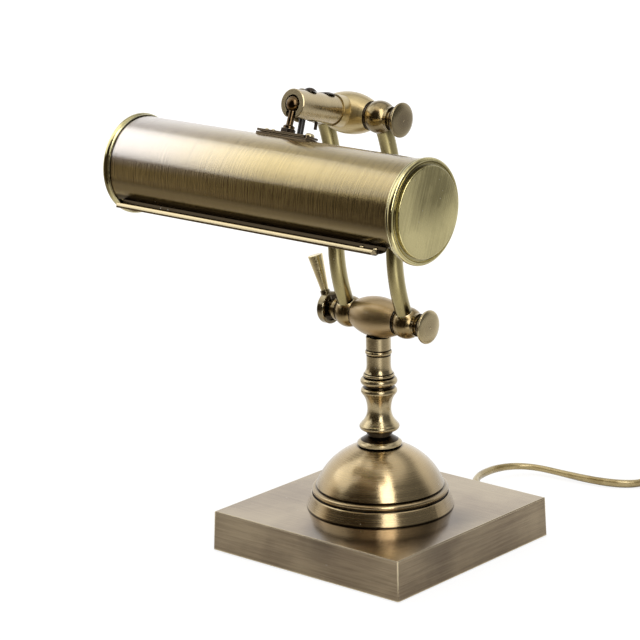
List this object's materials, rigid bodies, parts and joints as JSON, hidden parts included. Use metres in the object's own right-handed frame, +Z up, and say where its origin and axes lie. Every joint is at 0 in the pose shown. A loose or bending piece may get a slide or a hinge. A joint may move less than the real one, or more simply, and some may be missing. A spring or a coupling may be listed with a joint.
{
  "type": "piano lamp",
  "caption": "Piano lamp with a horizontal half-round shade on a ball joint, twin swing arms, a clamp lever, a turned stem on a dome, a square weighted base and a cord with a switch.",
  "frame": {"origin": "centre of the underside of the square base, on the surface it stands on", "axes": "+Z up, +X along the shade and both swivels, -Y the side over which the shade stands out"},
  "size_m": [0.3141, 0.4131, 0.3072],
  "materials": {
    "aged_brass": "brushed, aged",
    "shade_brass": "brushed, aged",
    "dark_bronze": "dark bronzed, satin",
    "steel": "zinc plated",
    "iron": "as cast",
    "felt": "short felt",
    "black_plastic": "matte",
    "bulb_metal": "satin",
    "opal_glass": "opal",
    "dark_sleeve": "soft sleeve",
    "gold_pvc": "glossy, slightly clear",
    "gold_plastic": "moulded, glossy",
    "rocker_plastic": "moulded, glossy",
    "plug_metal": "bright"
  },
  "bodies": {
    "stand": {"base_cover": "aged_brass", "base_weight": "iron", "bottom_plate": "steel", "plate_screws": "steel", "felt_pad": "felt", "threaded_tube": "steel", "stem_washer": "steel", "stem_nut": "steel", "dome": "aged_brass", "stem_collar": "aged_brass", "baluster": "aged_brass", "ferrule": "aged_brass", "lower_barrel": "aged_brass", "lower_washers": "dark_bronze", "lower_axle": "steel", "lower_knob": "aged_brass", "base_lead": "gold_pvc", "cord_bush": "gold_pvc", "cord_lead": "gold_pvc", "switch_lower": "gold_plastic", "switch_upper": "gold_plastic", "cord_tail": "gold_pvc", "cord_coil": "gold_pvc", "cord_end": "gold_pvc", "plug_body": "gold_plastic", "plug_blades": "plug_metal"},
    "lever": {"lever_hub": "aged_brass", "lever_handle": "aged_brass"},
    "arms": {"lower_ball_left": "aged_brass", "lower_ball_right": "aged_brass", "arm_left": "aged_brass", "arm_right": "aged_brass", "upper_ball_left": "aged_brass", "upper_ball_right": "aged_brass", "upper_axle": "steel", "upper_knobs": "aged_brass"},
    "holder": {"upper_barrel": "aged_brass", "upper_washers": "dark_bronze", "shade_bar": "aged_brass", "bar_screws": "dark_bronze", "grub_screw": "dark_bronze", "ball_seat": "dark_bronze", "shade_lead": "dark_sleeve"},
    "ball": {"ball_stud": "dark_bronze"},
    "shade": {"stud_nuts": "dark_bronze", "bracket_saddle": "shade_brass", "bracket_plate": "dark_bronze", "bracket_screw": "steel", "shade_tube": "shade_brass", "front_lip": "shade_brass", "lip_rivets": "shade_brass", "cap_left": "shade_brass", "cap_right": "shade_brass", "lampholder_bracket": "steel", "lampholder": "black_plastic", "bulb_cap": "bulb_metal", "bulb_glass": "opal_glass", "lamp_lead": "gold_pvc"},
    "rocker": {"switch_rocker": "rocker_plastic"}
  },
  "joints": [
    {"name": "arm_swing", "type": "hinge", "parent": "stand", "child": "arms", "pos_m": [0, 0, 0.1505], "axis": [1, 0, 0], "range_deg": [-30, 35]},
    {"name": "holder_tilt", "type": "hinge", "parent": "arms", "child": "holder", "pos_m": [0, -0.0242, 0.2846], "axis": [1, 0, 0], "range_deg": [-40, 20]},
    {"name": "shade_tilt", "type": "hinge", "parent": "holder", "child": "ball", "pos_m": [0, -0.07544, 0.29814], "axis": [1, 0, 0], "range_deg": [-40, 25], "deforming": ["shade_lead"]},
    {"name": "shade_swivel", "type": "hinge", "parent": "ball", "child": "shade", "pos_m": [0, -0.07544, 0.29814], "axis": [0, 0.3665, 0.9304], "range_deg": [-15, 15], "deforming": ["shade_lead"]},
    {"name": "lever_turn", "type": "hinge", "parent": "stand", "child": "lever", "pos_m": [-0.0409, 0, 0.1505], "axis": [-1, 0, 0], "range_deg": [0, 90]},
    {"name": "switch_rocker", "type": "hinge", "parent": "stand", "child": "rocker", "pos_m": [0.106, 0.239, 0.0114], "axis": [-0.7314, 0.682, 0], "range_deg": [0, 12]}
  ]
}
